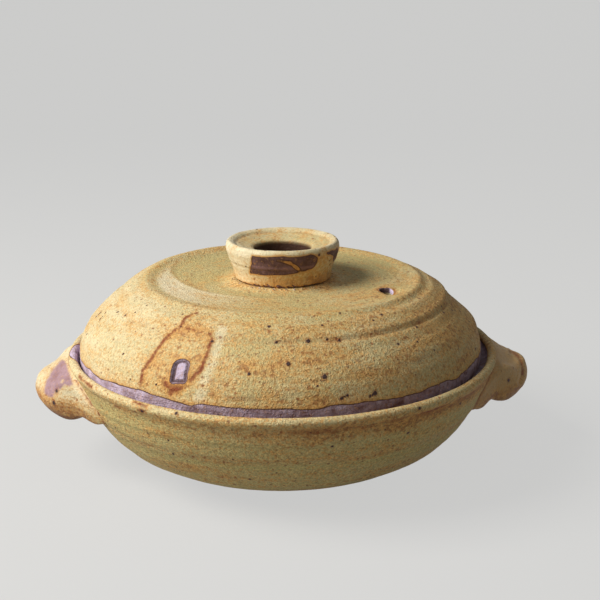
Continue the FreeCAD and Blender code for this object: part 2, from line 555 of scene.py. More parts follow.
def makeSandGroup():
    # sandy grain: a value round a half for the colour, and a height
    into, out = newGroup("sandyGrain", ["Value", "Height"], Vector=None, Scale=1000.0)
    vector, scale = into["Vector"], into["Scale"]
    fine = grainOf(vector, scale, 3, 0.6)
    coarse = grainOf(vector, times(scale, 0.55), 2, 0.5)
    grit = add("TexVoronoi", {"Vector": vector, "Scale": times(scale, 0.8)})
    grains = fade(grit.outputs["Distance"], 0.55, 0.05)
    feed(plus(times(fine, 0.65), times(coarse, 0.35)), out["Value"])
    feed(plus(times(coarse, 0.7), plus(times(fine, 1.2), times(grains, 0.5))), out["Height"])


def makeMottleGroup():
    # cloudy patches with a ragged edge
    into, out = newGroup("mottle", ["Mask"], Vector=None, Scale=60.0, Level=0.5, Softness=0.1, Push=0.0)
    cloud = plus(grainOf(into["Vector"], into["Scale"], 6, 0.62), into["Push"])
    low, high = (change(into["Level"], into["Softness"]) for change in (less, plus))
    feed(fade(cloud, low, high), out["Mask"])


def makeSpeckleGroup():
    # small scattered specks, of which only a share shows
    into, out = newGroup("specks", ["Mask"], Vector=None, Scale=200.0, Radius=0.2, Share=0.3)
    vector, scale = into["Vector"], into["Scale"]
    cells = add("TexVoronoi", {"Vector": vector, "Scale": scale}).outputs
    chance = add("SeparateColor", {0: cells["Color"]}).outputs
    size = times(into["Radius"], plus(chance[1], 0.35))
    size = times(size, plus(grainOf(vector, times(scale, 4.0), 2, 0.6), 0.5))
    speck = fade(sums("DIVIDE", cells["Distance"], size), 1.25, 0.7)
    feed(times(speck, sums("LESS_THAN", chance[0], into["Share"])), out["Mask"])


def makeSpotGroup():
    # iron spots at laid places, and one great spot of painted shade deep in the lid's steam hole: a dark middle and a
    # burnt halo
    into, out = newGroup("spotsAndHoleShade", ["Middle", "Halo"], Way=None, Size=0.0, Vector=None)
    away = add("VectorMath", {0: into["Way"]}, operation="LENGTH").outputs["Value"]
    ragged = plus(grainOf(into["Vector"], 900.0, 2, 0.6), 0.5)
    share = sums("DIVIDE", away, plus(times(into["Size"], ragged), 0.00001))
    feed(fade(share, 1.15, 0.7), out["Middle"])
    feed(fade(share, 2.1, 0.9), out["Halo"])


def makeEdgeGroup():
    # where the glaze stops: bare clay on one side, a thin burnt line on the other
    into, out = newGroup("glazeEdge", ["Bare", "Burnt", "Glow"], Distance=0.0, Vector=None, Raggedness=0.9,
                         Line=0.9, Softness=0.1)
    ragged = less(grainOf(into["Vector"], 230.0, 4, 0.62), 0.5)
    place = plus(into["Distance"], times(ragged, times(into["Raggedness"], 4.0)))
    feed(fade(place, times(into["Softness"], -1.0), into["Softness"]), out["Bare"])
    width = times(into["Line"], fade(grainOf(into["Vector"], 110.0, 3, 0.6), 0.3, 0.7))
    inner = fade(place, times(width, -1.0), times(width, -0.45))
    feed(times(inner, fade(place, 0.45, 0.15)), out["Burnt"])
    feed(fade(place, times(into["Line"], -3.2), 0.0), out["Glow"])


def makeStrokeGroup():
    # a brown line where the glaze was wiped, broken here and there
    into, out = newGroup("wipedLine", ["Mask", "Glow"], Distance=10.0, Vector=None, Width=1.0)
    ragged = grainOf(into["Vector"], 170.0, 4, 0.65)
    width = plus(times(into["Width"], fade(ragged, 0.26, 0.60)), 0.55)
    shake = times(less(grainOf(into["Vector"], 520.0, 3, 0.65), 0.42), 2.2)
    away = plus(into["Distance"], shake)
    line = times(fade(away, times(width, 1.35), times(width, 0.1)), fade(ragged, 0.24, 0.42))
    patchy = plus(times(grainOf(into["Vector"], 330.0, 3, 0.6), 1.1), 0.45)
    feed(times(line, patchy), out["Mask"])
    feed(fade(away, times(into["Width"], 3.2), 0.4), out["Glow"])


makeWheelGroup()
makeSandGroup()
makeMottleGroup()
makeSpeckleGroup()
makeSpotGroup()
makeEdgeGroup()
makeStrokeGroup()


def glazeMaterial(name, look):
    material, tree, shader = newMaterial(name)
    spot = node(tree, "TexCoord", {}).outputs["Object"]

    def group(name, **values):
        return node(tree, "Group", values, node_tree=groups[name]).outputs

    def attribute(name, output="Fac"):
        return node(tree, "Attribute", {}, attribute_name=name).outputs[output]

    def mottled(vector, scale, level, softness, push=0.0):
        return group("mottle", Vector=vector, Scale=scale, Level=level, Softness=softness, Push=push)[0]

    wheel = group("wheelWise", Vector=spot, Along=attribute("along"), Stretch=look["stretch"])[0]
    sand = group("sandyGrain", Vector=spot, Scale=look["grainScale"])
    flush, pale, moss = attribute("flush"), attribute("pale"), attribute("moss")
    # straw glaze, creamy where it is thick and where the pale layer is laid, which is partly painted light on the lit
    # left side and in the steam hole
    creamy = most(times(pale, look["paleness"]), times(mottled(spot, 24.0, 0.5, 0.14), look["creaminess"]))
    colour = mixed(creamy, look["body"], colours["cream"])
    # greener bands, laid and by chance
    green = most(times(mottled(wheel, 26.0, 0.52, 0.12), look["mossStrength"]), moss)
    colour = mixed(green, colour, look["moss"])
    # warm streaks along the wheel, and grains of orange that crowd in them
    thick = times(most(pale, times(moss, 0.9)), -0.075)
    streaks = mottled(wheel, look["streakScale"], look["streakLevel"], 0.12, thick)
    crowd = plus(plus(times(streaks, 0.07), times(flush, 0.10)), thick)
    scale, level = look["speckScale"], look["speckLevel"]
    grains = mottled(spot, scale, level, 0.07, crowd)
    freckles = mottled(spot, scale * 0.55, level + 0.085, 0.035, crowd)
    tiny = group("specks", Vector=spot, Scale=300.0, Radius=0.22, Share=look["speckShare"])[0]
    # creases and wiped lines burnt brown, the creases partly painted shade, and the glaze's edge glowing before them
    brownAndShade = plus(times(mottled(wheel, 75.0, 0.5, 0.1), 0.85), 0.08)
    stroke = group("wipedLine", Distance=attribute("stroke"), Vector=spot, Width=look["strokeWidth"])
    edge = group("glazeEdge", Distance=attribute("bare"), Vector=spot, Raggedness=look["raggedness"],
                 Line=look["burntLine"], Softness=look["edgeSoftness"])
    # the amber flush and the rust creases are partly painted shade, laid browner where the pieces stand in shade
    for mask, strength, shade in (
            (streaks, look["streakStrength"], "amber"), (flush, 0.75, "amber"),
            (grains, look["speckStrength"], "peach"), (freckles, look["freckleStrength"], "rustAndShade"), (tiny, 0.7, "rustAndShade"),
            (attribute("crease"), brownAndShade, "rustAndShade"), (stroke["Glow"], 0.5, "peach"), (stroke["Mask"], 0.95, "rustAndShade"),
            (edge["Glow"], look["edgeGlow"], "peach")):
        colour = mixed(times(mask, strength), colour, colours[shade])
    # the bare clay, pale with ash in clouds and lilac where the pale layer is laid, partly a painted sheen on the lit
    # side, with a burnt line before it
    ashAndSheen = plus(times(mottled(spot, 110.0, 0.5, 0.16), 0.45), times(pale, look["ashAndSheenShare"]))
    ashAndSheen = plus(ashAndSheen, times(mottled(spot, 300.0, 0.5, 0.14), 0.25))
    clay = mixed(ashAndSheen, look["clay"], look["clayPale"])
    clay = mixed(times(mottled(spot, 520.0, 0.6, 0.06), 0.35), clay, colours["peach"])
    colour = mixed(edge["Bare"], colour, clay)
    colour = mixed(times(edge["Burnt"], 0.85), colour, colours["burntAndShade"])
    # painted shade: this layer darkens the knob's throat, the steam hole's left wall, the recess, the lid under the
    # knob's mouth and the lugs' undersides
    colour = mixed(attribute("dark"), colour, colours["burntAndShade"])
    # iron spots, one of them painted shade deep in the steam hole, and the sandy grain go over all
    spots = group("spotsAndHoleShade", Way=attribute("spotWay", "Vector"), Size=attribute("spotSize"), Vector=spot)
    colour = mixed(times(spots["Halo"], 0.55), colour, colours["rustAndShade"])
    colour = mixed(times(spots["Middle"], 0.95), colour, colours["ironAndShade"])
    calmer = most(times(edge["Bare"], 0.55), times(pale, 0.4))
    contrast = times(less(1.0, calmer), look["grainContrast"])
    light = plus(times(less(sand["Value"], 0.5), contrast), 1.03)
    grey = add("CombineColor", {0: light, 1: light, 2: light})
    feed(mixed(1.0, colour, grey.outputs[0], "MULTIPLY"), shader.inputs["Base Color"])
    rough = plus(times(sand["Value"], 0.3), look["roughness"] - 0.15)
    feed(sums("ADD", rough, times(edge["Bare"], 0.12), clamp=True), shader.inputs["Roughness"])
    feed(look["gloss"], shader.inputs["Specular IOR Level"])
    height = plus(sand["Height"], times(spots["Middle"], 0.6))
    height = plus(height, times(grainOf(wheel, 300.0, 2, 0.4), look["fineRings"]))
    bump = add("Bump", {"Strength": 1.0, "Distance": look["bumpHeight"], "Height": height})
    feed(bump.outputs["Normal"], shader.inputs["Normal"])
    return material


baseLook = {
    "body": colours["straw"],
    "moss": colours["moss"],
    "stretch": 4.0,
    "grainScale": 980.0,
    "grainContrast": 1.8,
    "paleness": 0.9,
    "creaminess": 0.25,
    "streakScale": 30.0,
    "streakLevel": 0.52,
    "streakStrength": 0.5,
    "mossStrength": 0.3,
    "speckScale": 620.0,
    "speckLevel": 0.55,
    "speckStrength": 0.65,
    "freckleStrength": 0.5,
    "speckShare": 0.22,
    "strokeWidth": 1.15,
    "raggedness": 0.16,
    "burntLine": 0.9,
    "edgeSoftness": 0.1,
    "edgeGlow": 0.65,
    "ashAndSheenShare": 0.95,
    "roughness": 0.68,
    "gloss": 0.35,
    "fineRings": 0.45,
    "bumpHeight": 0.00034,
    "clay": paint(122, 88, 86),
    "clayPale": paint(214, 196, 216),
}


# The bowl

(potLow, potHigh), (lidLow, lidHigh), (knobLow, knobHigh) = (
    [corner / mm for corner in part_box(name)] for name in ("pot_bowl", "lid_dome", "lid_knob"))

bowl = {
    "lipThickness": 5.6,
    "lipDepth": 6.6,
    "grooveInset": 2.1,
    "lipTuck": 0.7,
    "galleryDepth": potHigh.z - lidLow.z,
    "ledgeWidth": 10.5,
    "ledgeThickness": 8.0,
    "ledgeOverhang": 1.5,
    "hip": (106.1, 22.4),
    "wallMiddle": (121.8, 42.7),
    "underMiddle": (84.1, 9.9),
    "inside": [(40, 10.1), (58, 10.3), (73, 14.0), (88.4, 20.0), (103.3, 30.0), (112.7, 42.0), (117.0, 50.0)],
    "footRadius": 58.0,
    "footRing": 9.0,
    "footRecess": 1.5,
    "footHeight": 2.2,
    "steps": 560,
    "fineStep": 1.35,
    "coarseStep": 5.0,
    "ringSpacing": 8.4,
    "ringDepth": 0.24,
    "stepBelow": [(26, 4, 0.25), (20, 5, -0.25)],   # a low step below the groove: how far, reach, depth
    "bareFoot": 8.5,                                # height up to which the foot is wiped
    # brown streaks on the lip, each from one angle and height to another
    "streaks": [(-158.7, 71.9, -149.8, 71.5), (-133.2, 72.6, -129.0, 72.4), (-131.4, 69.2, -129.6, 69.2),
                (-60.0, 66.4, -51.0, 66.2), (-141.0, 65.8, -136.0, 65.7), (30, 71.5, 41, 71.6),
                (78, 66, 92, 66.2), (120, 71.2, 126, 71.3), (141, 66, 150, 66.2)],
    # orange places: angle, height, reach, strength
    "blotches": [(-130.5, 56.0, 4, 0.7), (-126.0, 56.0, 5, 0.9), (-121.5, 55.0, 4, 0.6), (-121.0, 33.0, 6, 0.8),
                 (-112.0, 32.0, 5, 0.6), (-96.0, 52.0, 6, 0.5), (-78.0, 44.0, 6, 0.5)],
    # iron spots: angle, height, size
    "spots": [(-120.6, 72.1, 0.9), (-83.2, 54.3, 0.8), (-62.5, 54.8, 1.0), (-61.4, 70.6, 0.9), (-88.7, 64.7, 0.5),
              (-125.2, 42.3, 0.7), (-107.9, 45.5, 0.6), (-104.6, 29.7, 0.7), (-125.0, 52.3, 0.6),
              (-131.3, 53.6, 0.6), (-130.3, 69.2, 1.1), (-74.0, 40.0, 0.5), (-97.0, 36.0, 0.5), (-70.0, 61.0, 0.5)],
    "chanceSpots": 46,
}
bowlLook = {
    "creaminess": 0.1,
    "streakStrength": 0.4,
    "grainContrast": 2.7,
    "speckLevel": 0.535,
    "speckStrength": 0.7,
    "ashAndSheenShare": 0.5,
    "moss": paint(198, 183, 118),
}
lipRadius, bowlTop = potHigh.x, potHigh.z
galleryRadius = lipRadius - bowl["lipThickness"]
seatHeight = bowlTop - bowl["galleryDepth"]
grooveRadius = lipRadius - bowl["grooveInset"]
grooveHeight = bowlTop - bowl["lipDepth"]


def bowlOutline():
    b = bowl
    lipRound = b["lipThickness"] / 2
    lipEdge = bowlTop - lipRound
    ledgeRadius = galleryRadius - b["ledgeWidth"]
    under = seatHeight - b["ledgeThickness"]
    foot, recess = b["footRadius"], b["footRecess"]
    ring = foot - b["footRing"]
    floor = b["inside"][0]
    seat = [(ledgeRadius + 0.8, seatHeight), (galleryRadius - 0.6, seatHeight), (galleryRadius, seatHeight + 0.6)]
    groove, footTop = (grooveRadius, grooveHeight), (foot + 2, b["footHeight"])
    return joinRuns([
        smoothRun([(0, floor[1]), floor], b["coarseStep"]),
        smoothRun(b["inside"] + [(ledgeRadius + b["ledgeOverhang"], under),
                                 (ledgeRadius, under + b["ledgeThickness"] / 2)], 3.2),
        smoothRun([(ledgeRadius, under + b["ledgeThickness"] / 2), (ledgeRadius, seatHeight - 0.8), seat[0]], 1.0),
        smoothRun(seat, 1.6),
        smoothRun([seat[2], (galleryRadius, lipEdge)], 0.8),
        roundRun((lipRadius - lipRound, lipEdge), lipRound, 180, 0, 0.75),
        smoothRun([(lipRadius, lipEdge), (lipRadius - b["lipTuck"], bowlTop - 0.72 * b["lipDepth"]), groove], 0.9),
        smoothRun([groove, b["wallMiddle"], b["hip"], b["underMiddle"], footTop], b["fineStep"]),
        smoothRun([footTop, (foot + 0.4, 0.5), (foot - 0.8, 0)], 0.8),
        smoothRun([(foot - 0.8, 0), (ring + 0.6, 0)], 2.5),
        smoothRun([(ring + 0.6, 0), (ring - recess, recess), (0, recess)], 6),
    ])


def spiral(angle, along, spacing, seed):
    # throwing rings climb as one uneven spiral
    draw = random.Random(seed)
    ring = np.zeros_like(along)
    for share in (1.0, 0.62, 1.7):
        phase = draw.uniform(0, fullTurn)
        ring += np.cos(fullTurn * along / (spacing * share) + np.radians(angle) + phase
                       + waver(angle, seed + 1, (1, 2, 3), 0.8)) * draw.uniform(0.5, 1.0)
    return ring / 2.2


def sideAlong(outline, height):
    side = outline["side"]
    return float(np.interp(-height, -outline["line"][side][:, 1], outline["along"][side]))


def onSide(outline, angle, height):
    # a place on the outer side of a piece, from its angle and its height
    return pointOn(outline, angle, sideAlong(outline, height))


def makeBowl():
    outline = bowlOutline()
    piece = throwPiece("bowlBody", outline, bowl["steps"])
    co = places(piece)
    angle, along = angles(co), alongOutline(piece, outline)
    crest = alongAt(outline, lipRadius - bowl["lipThickness"] / 2, bowlTop)
    groove = alongAt(outline, grooveRadius, grooveHeight)
    foot = alongAt(outline, bowl["footRadius"] + 2, bowl["footHeight"])
    outline["side"] = outline["along"] >= crest
    outside = softStep(along, groove, groove + 6) * softStep(along, foot - 2, foot - 12)
    inside = softStep(along, 0, 20) * softStep(along, crest - 32, crest - 42)
    depth = spiral(angle, along, bowl["ringSpacing"], 5) * bowl["ringDepth"] * (outside + 2.2 * inside)
    # glaze stands a little above the bare gallery and foot
    footEdge = bowl["bareFoot"] + waver(angle, 11, (2, 3, 5, 9, 14), 1.6)
    bare = np.maximum(bareGallery(angle, along, crest), np.where(along > groove, footEdge - co[:, 2], -30.0))
    depth += softStep(bare, -0.8, 0.4) * 0.22
    # a low step under the lip, and the groove there pressed unevenly
    depth += grooves(along - groove, bowl["stepBelow"])
    depth += near(along, groove, 6) * waver(angle, 17, (3, 4, 7, 11), 0.22)
    press(piece, depth)
    cloudy(piece, (28, 0.35), (6.5, 0.16))
    co = places(piece)
    co[:, 2] = np.maximum(co[:, 2], 0)
    settle(piece, co)
    # the groove is brownest at the front and right, partly a brown line in the glaze and partly painted shadow under
    # the lip away from the light; the lip is palest at the left, partly its cream and partly painted light where the
    # light falls
    brownAndShade = 0.1 + 0.9 * np.maximum(nearTurn(angle, -55, 75), nearTurn(angle, 70, 60) * 0.8)
    flush = near(along, groove + 3, 8) * brownAndShade + near(along, crest, 2.5) * 0.1
    for turn, height, reach, strength in bowl["blotches"]:
        flush = np.maximum(flush, nearTurn(angle, turn, reach) * near(co[:, 2], height, reach) * strength)
    green = softStep(along, groove + 5, groove + 14) * (along > groove)
    green = green * (0.50 + 0.35 * np.clip(spiral(angle, along, 15, 9), -1, 1))
    olive = softStep(along, groove - 1, groove + 4) * softStep(along, groove + 18, groove + 8)
    olive = olive * nearTurn(angle, -142, 42)
    lay(piece, along=along * mm, bare=bare, stroke=lipStrokes(co, outline), flush=flush,
        pale=(0.3 + nearTurn(angle, 190, 60) * 0.45) * near(along, crest, 9),
        moss=olive * 0.75 + (1 - olive) * green,
        crease=near(along, groove + 1.6, 3.6) * brownAndShade * 0.9 + near(along, groove + 25, 3) * 0.15)
    laySpots(piece, bowlSpots(outline))
    finishPiece(piece, "bowlGlaze", bowlLook, "pot", "pot_bowl")


def bareGallery(angle, along, crest):
    # the gallery is wiped clean; near the left lug the wiping reaches over the lip
    reach = 4.6 + waver(angle, 3, (2, 5, 9, 16), 0.9)
    reach -= nearTurn(angle, 182.5, 9) ** 0.4 * (reach + 2.8)
    return np.minimum(crest - reach - along, along - (crest - 26))


def lipStrokes(co, outline):
    best = np.full(len(co), 20.0)
    for a, low, b, high in bowl["streaks"]:
        start, end = (onSide(outline, 0, height).x for height in (low, high))
        points = [onTurn(a + (b - a) * t, start + (end - start) * t, low + (high - low) * t)
                  for t in np.linspace(0, 1, 6)]
        best = np.minimum(best, lineDistance(co, points) + 0.1)
    return best


def bowlSpots(outline):
    spots = [(onSide(outline, angle, height), size) for angle, height, size in bowl["spots"]]
    draw = random.Random(41)
    for index in range(bowl["chanceSpots"]):
        spots.append((onSide(outline, draw.uniform(-55, 215), draw.uniform(14, 70)), draw.uniform(0.35, 0.95)))
    return spots


makeBowl()


# The lid

lid = {
    "edge": 7.0,
    "edgeRounding": 0.8,
    "band": 7.0,
    "shoulderInset": 23.0,
    "shoulderRise": 39.0,
    "plateauInset": 41.0,
    "sideFullness": 3.8,
    "topFullness": 1.1,
    "ridgeWidth": 3.4,
    "ridgeFall": 0.9,
    "disc": (5, 25, 73),      # middle and radius of the disc turned a little off centre
    "discFall": 0.35,
    "wall": 6.4,
    "ventDiameter": 7.5,
    "ventInset": 15.6,
    "ventAngle": -31.0,
    "ventRounding": 1.3,
    "steps": 600,
    "fineStep": 1.35,
    "ringSpacing": 7.6,
    "ringDepth": 0.18,
    "underside": [(117, 80), (114.7, 85), (111.6, 90), (107.3, 95), (101.6, 100), (97.1, 103), (93.3, 105),
                  (88.3, 107), (84.9, 108.2), (81.2, 108.9), (77, 109.1)],
    # height of the glaze edge at angles round the front
    "glazeEdge": [(-171.4, 73.0), (-157.7, 75.3), (-150.8, 74.3), (-145.5, 75.8), (-141, 76.3), (-133.4, 77.3),
                  (-130, 76.9), (-123.7, 75.9), (-117.9, 74.9), (-115.3, 76.3), (-107.5, 76.1), (-95.3, 76.0),
                  (-85.6, 75.5), (-82.5, 76.8), (-77.9, 76.4), (-73.7, 76.8), (-63.9, 75.6), (-57.4, 75.4),
                  (-53.6, 76.5), (-46, 76.4), (-39.9, 73.0)],
    # orange places on the side: angle, height, reach, strength
    "blotches": [(-111.5, 82.0, 6, 0.9), (-112.0, 93.0, 7, 0.6), (-108.5, 88.0, 8, 0.5), (-104.0, 97.0, 9, 0.7),
                 (-96.0, 99.0, 11, 0.6), (-88.0, 97.0, 12, 0.65), (-98.0, 82.0, 10, 0.7), (-86.0, 80.0, 10, 0.6),
                 (-74.0, 90.0, 14, 0.5), (-80.0, 104.0, 9, 0.5), (-125.0, 112.0, 6, 0.6), (-60.0, 84.0, 12, 0.5)],
    # iron spots: angle, height, size
    "spots": [
        (-151.6, 112.5, 0.5), (-153.3, 108.5, 0.6), (-132.7, 113.5, 0.5), (-129.5, 108.8, 0.6), (-144.1, 91.7, 0.6),
        (-128.6, 82.3, 0.6), (-137.6, 81.3, 0.4), (-116.8, 105.3, 1.1), (-99.7, 112.4, 0.9), (-97.1, 106.4, 0.9),
        (-93.7, 97.5, 1.2), (-103.9, 93.0, 0.8), (-87.5, 106.6, 1.2), (-81.6, 106.8, 0.7), (-77.9, 106.1, 1.1),
        (-73.5, 115.7, 0.6), (-58.6, 113.2, 0.9), (-63.4, 111.8, 0.6), (-82.0, 112.4, 0.7), (-33.7, 113.9, 0.8),
        (-48.8, 105.2, 0.9), (-59.8, 100.7, 0.8), (-52.8, 99.4, 0.7), (-48.4, 93.9, 0.6), (-84.3, 91.4, 1.4),
        (-86.2, 87.2, 0.6), (-80.0, 80.0, 1.0), (-78.5, 81.2, 0.8), (-71.0, 80.4, 1.3), (-72.4, 79.3, 0.8)],
    "sideSpots": 70,          # by chance, on the side and on the top
    "topSpots": 26,
    # the lid isn't quite round: how far its edge slid, how full its side is at a height, and
    # at a height and an angle, and how much its top rises at a radius and an angle
    "slide": -1.3,
    "fuller": [(88, 15, 0.9)],
    "sides": [(98.5, 11, 0, 48, -3.8), (98.5, 11, 175, 40, -0.4), (111, 7, 178, 38, -0.9)],
    "tops": [(90, 17, 128, 60, 2.3), (84, 14, 75, 60, 0.9), (101, 15, 27, 42, -1.2)],
}
lidLook = {
    "streakStrength": 0.5,
    "paleness": 1.0,
    "grainContrast": 2.1,
    "bumpHeight": 0.0004,
    "clay": paint(112, 76, 72),
}
# a plain arched recess pressed in the side, with a plain raised field in it
arch = {"angle": -122.8, "height": 90.9, "lean": 9.0, "width": 9.4, "tall": 12.8, "depth": 1.35, "raised": 0.75,
        "corner": 1.6, "flatness": 0.72}
# where a finger wiped the glaze, as angles and heights on the side
wipe = {
    "left": [(-128.2, 114.6), (-130.2, 112.4), (-129.7, 108.8), (-131.8, 105.6), (-132.6, 101.5), (-133.2, 93.7),
             (-134.1, 87.5), (-133.6, 81.5)],
    "upper": [(-130.0, 108.5), (-124.8, 108.5), (-121.4, 108.1)],
    "right": [(-118.0, 107.5), (-116.9, 105.3), (-116.8, 98.5), (-117.1, 92.6), (-119.0, 87.8)],
    "drip": [(-125.4, 83.8), (-123.6, 82.4), (-121.2, 83.4), (-123.4, 82.0), (-123.8, 79.8)],
    "pale": [(-115.0, 110.0), (-114.6, 95.0), (-115.7, 78.5)],
}
wipeWidths = {"left": 0.3, "right": 0.2, "upper": -0.3, "drip": 1.0}
wipeArea = [(-128.6, 113.0), (-130.0, 108.8), (-131.8, 105.6), (-132.6, 101.5), (-133.2, 93.7), (-134.1, 87.5),
            (-133.0, 79.5), (-121.0, 78.0), (-118.3, 87.0), (-116.9, 92.6), (-116.6, 100.0), (-117.4, 107.0),
            (-120.0, 112.5)]
lidRadius, plateauHeight = lidHigh.x, lidHigh.z
plateauRadius = lidRadius - lid["plateauInset"]
vent = onTurn(lid["ventAngle"], plateauRadius - lid["ventInset"])
ventRadius = lid["ventDiameter"] / 2
lidTop = plateauHeight - lid["ridgeFall"]
wellRadius = 24             # up to where the lid shows as the bottom of the knob's mouth


def bulged(start, end, fullness):
    # the middle of a stretch of outline, moved out of its straight line
    start, end = np.array(start), np.array(end)
    across = np.array((start[1] - end[1], end[0] - start[0])) / np.linalg.norm(end - start)
    return tuple((start + end) / 2 + across * fullness)


def lidOutline():
    d, seat = lid, lidLow.z
    edge, fine, rounding = d["edge"], d["fineStep"], d["edgeRounding"]
    bandTop = (lidRadius, seat + d["band"])
    shoulder = (lidRadius - d["shoulderInset"], seat + d["shoulderRise"])
    ridge = (plateauRadius + d["ridgeWidth"] / 2, plateauHeight - d["ridgeFall"] / 2)
    under = lidTop - d["wall"]
    middle, disc = (26, plateauHeight - 0.2), (72, lidTop - 0.05)
    inner = (lidRadius - edge, seat + d["band"])
    return joinRuns([
        smoothRun([(0, middle[1]), middle], 6),
        smoothRun([middle, (31.6, plateauHeight - 0.3), (36, lidTop - 0.3), (46, lidTop - 0.3), (60, lidTop - 0.25),
                   disc], fine),
        smoothRun([disc, (plateauRadius - 2 * d["ridgeWidth"], lidTop + 0.25), (plateauRadius, plateauHeight),
                   ridge], fine),
        smoothRun([ridge, bulged(ridge, shoulder, d["topFullness"]), shoulder], fine),
        smoothRun([shoulder, bulged(shoulder, bandTop, d["sideFullness"]), bandTop], fine),
        smoothRun([bandTop, (lidRadius, seat + rounding)], 1.2),
        roundRun((lidRadius - rounding, seat + rounding), rounding, 0, -90, 0.4),
        smoothRun([(lidRadius - rounding, seat), (inner[0], seat)], 2.2),
        smoothRun([(inner[0], seat), inner], 3.4),
        smoothRun([inner] + d["underside"], 4.5),
        smoothRun([(77, under), (40, under)], 4.5),
        smoothRun([(40, under), (0, under)], 10),
    ])


def makeLid():
    d, seat = lid, lidLow.z
    outline = lidOutline()
    piece = throwPiece("lidShell", outline, d["steps"])
    ridge = alongAt(outline, plateauRadius, plateauHeight)
    shoulder = alongAt(outline, lidRadius - d["shoulderInset"], seat + d["shoulderRise"])
    bandTop = alongAt(outline, lidRadius, seat + d["band"])
    bottom = alongAt(outline, lidRadius - d["edge"], seat)
    outline["side"] = outline["along"] < bandTop
    refine(piece, onSide(outline, arch["angle"], arch["height"]), 12, 3)
    cutVent(piece)
    co = places(piece)
    angle, along, radius = angles(co), alongOutline(piece, outline), radii(co)
    shown = along < bottom
    # throwing rings on the side, weaker on the top
    side = softStep(along, ridge + 2, ridge + 9) * softStep(along, bandTop - 1, bandTop - 8)
    top = softStep(along, 34, 44) * softStep(along, ridge - 3, ridge - 8)
    inner = softStep(along, bottom + 12, bottom + 20)
    depth = spiral(angle, along, d["ringSpacing"], 21) * d["ringDepth"] * (side + 0.6 * top + 1.6 * inner)
    # the ridge round the top and the crease on the shoulder come and go
    right = nearTurn(angle, -30, 65)
    depth += grooves(along, [
        (ridge, 3, -0.22 - 0.30 * right - waver(angle, 23, (1, 2, 4, 7), 0.14)),
        (ridge + 5, 4.5, 0.15 + 0.5 * right),
        (shoulder + 1.6, 2.4, 0.50 + 0.25 * right + waver(angle, 25, (1, 3, 5), 0.14)),
        (shoulder - 2.4, 4, -0.30 - 0.2 * right),
        (shoulder + 21, 2.6, 0.22 + waver(angle, 27, (1, 2, 5), 0.1)),
    ])
    # crumbs of clay along the knob's seam
    crumbs = waver(angle + along * 7, 41, (31, 47, 61, 83), 1.0) * near(radius, 31.6, 2.6) * shown
    depth -= crumbs * 0.4
    discX, discY, discRadius = d["disc"]
    discGap = np.hypot(co[:, 0] - discX, co[:, 1] - discY) - discRadius + waver(angle, 29, (2, 3, 5), 0.8)
    top = softStep(along, ridge - 4, ridge - 10) * softStep(along, 34, 42)
    depth += top * (softStep(discGap, 1, -1.2) * d["discFall"] - near(discGap, 2.2, 3) * 0.18)
    # glaze edge above the bare band, as seen at the front
    seen = np.interp(angle, *zip(*d["glazeEdge"])) + waver(angle, 35, (21, 34, 55), 0.12)
    hidden = seat + 8.0 + waver(angle, 31, (2, 3, 5, 8, 13, 21), 0.75)
    front = softStep(np.abs(angle + 106), 68, 62)
    innerEdge = seat + 10.0 + waver(angle, 33, (2, 3, 5, 9), 1.2)
    bare = np.where(shown, hidden * (1 - front) + seen * front, innerEdge) - co[:, 2]
    depth += softStep(bare, -0.7, 0.4) * 0.28 * shown
    press(piece, depth)
    cloudy(piece, (30, 0.30), (6.5, 0.15))
    gap = archDistance(places(piece), outline)
    press(piece, softStep(gap, 0.35, -0.9) * arch["depth"] - softStep(gap, -1.7, -2.6) * arch["raised"]
          - near(gap, 0.9, 1.3) * 0.14)
    co = places(piece)
    radius, gap = radii(co), archDistance(co, outline)
    # bare clay: in the recess, under the knob's mouth, on the crumbs and in the steam hole
    bare = np.maximum(bare, 0.5 - gap)
    bare = np.maximum(bare, np.where(along < wellRadius, 18 - radius, bare))
    bareCrumbs = (crumbs - 0.45 - 0.4 * softStep(np.abs(angle + 100), 20, 60)) * 2
    bare = np.where(crumbs > 0, np.maximum(bare, bareCrumbs), bare)
    fromVent = np.linalg.norm((co - vent)[:, :2], axis=1)
    bore = softStep(fromVent, ventRadius + 1.0, ventRadius + 0.4) * shown
    bare = np.maximum(bare, np.where(bore > 0, (bore - 0.5) * 2, bare))
    flush, strokes, pale = wipeMarks(co, outline)
    strokes = np.minimum(strokes, np.where(shown, np.abs(fromVent - ventRadius - 1.4) + 0.5, 20.0))
    # warm round the knob and a little at the left of the top, and browner at the right of the side as painted shade
    for more in (near(radius, 31, 7) * (0.2 + waver(angle, 39, (1, 2, 4), 0.2)) * (along < 60),
                 nearTurn(angle, -12, 60) * softStep(along, ridge, ridge + 12) * shown * 0.45,
                 nearTurn(angle, 190, 70) * top * softStep(discGap, 0, 3) * 0.1):
        flush = np.maximum(flush, more)
    # painted shade: darker in the recess, most along its edge, on the lid under the knob's mouth and on the steam
    # hole's left wall
    recess = softStep(gap, 0.3, -0.3) * (0.12 + 0.7 * near(gap, -1.2, 1.3))
    dark = recess + (along < wellRadius) * 0.8 + bore * softStep(co[:, 0] - vent[0], 3.4, 2.0) * 0.95
    # paler at the left of the top and side, partly the glaze's cream and partly painted light on the lit side, with
    # the bare band lilac there as a painted sheen; the steam hole is paler as painted light on its lit right wall
    left = 0.5 * softStep(along, ridge - 2, ridge + 8) + top * softStep(discGap, 0, 3)
    left = left * nearTurn(angle, 188, 75) * (1 - flush)
    for more in (left, bore, np.clip(crumbs, 0, 1), softStep(gap, -1.5, -2.4) * 0.6):
        pale = np.maximum(pale, more)
    olive = softStep(discGap, 1, -2.5) * top * (0.62 + waver(angle, 37, (1, 2, 3), 0.18))
